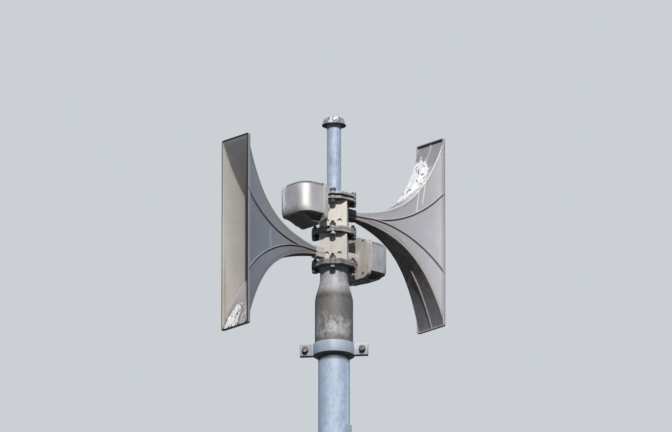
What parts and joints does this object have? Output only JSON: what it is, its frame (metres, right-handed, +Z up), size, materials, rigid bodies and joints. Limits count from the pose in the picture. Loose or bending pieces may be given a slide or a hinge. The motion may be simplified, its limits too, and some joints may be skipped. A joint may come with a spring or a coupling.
{
  "type": "civil defense siren tower",
  "caption": "Warning siren on a round steel mast: stacked square bodies with opposed flared rectangular horns, box drivers, a clamped adapter sleeve and a capped pipe.",
  "frame": {"origin": "centre of the underside of the base plate, on the mast's axis", "axes": "+Z up the mast; +X the way the upper horn faces, the lower horn faces -X"},
  "size_m": [0.9, 0.32, 5.8545],
  "materials": {
    "galvanized_steel": "hot-dip galvanized, dull and mottled",
    "weathered_steel": "galvanized, weathered to brown grey",
    "cast_aluminium": "rough casting, chalky and stained",
    "horn_aluminium": "matte casting, greyed",
    "driver_aluminium": "smooth casting with a dull sheen",
    "bolt_steel": "zinc plated, dulled, some rust",
    "cap_metal": "dull, stained white",
    "gasket_rubber": "dark, dull"
  },
  "bodies": {
    "root": {"base_plate": "galvanized_steel", "base_gussets": "galvanized_steel", "mast_pole": "galvanized_steel", "pole_clip": "galvanized_steel", "adapter_sleeve": "weathered_steel", "adapter_flange": "weathered_steel", "clamp_front_half": "galvanized_steel", "clamp_back_half": "galvanized_steel", "clamp_bolts": "bolt_steel", "lower_body": "cast_aluminium", "upper_body": "cast_aluminium", "lower_throat_collar": "cast_aluminium", "upper_throat_collar": "cast_aluminium", "lower_horn_top": "horn_aluminium", "lower_horn_bottom": "horn_aluminium", "lower_horn_left": "horn_aluminium", "lower_horn_right": "horn_aluminium", "upper_horn_top": "horn_aluminium", "upper_horn_bottom": "horn_aluminium", "upper_horn_left": "horn_aluminium", "upper_horn_right": "horn_aluminium", "lower_driver_neck": "cast_aluminium", "upper_driver_neck": "cast_aluminium", "lower_driver_base": "cast_aluminium", "upper_driver_base": "cast_aluminium", "lower_driver_cover": "driver_aluminium", "upper_driver_cover": "driver_aluminium", "adapter_bolts": "bolt_steel", "middle_bolts": "bolt_steel", "top_bolts": "bolt_steel", "top_gasket": "gasket_rubber", "pipe_plate": "weathered_steel", "top_pipe": "galvanized_steel", "pipe_cap": "cap_metal"}
  },
  "joints": []
}
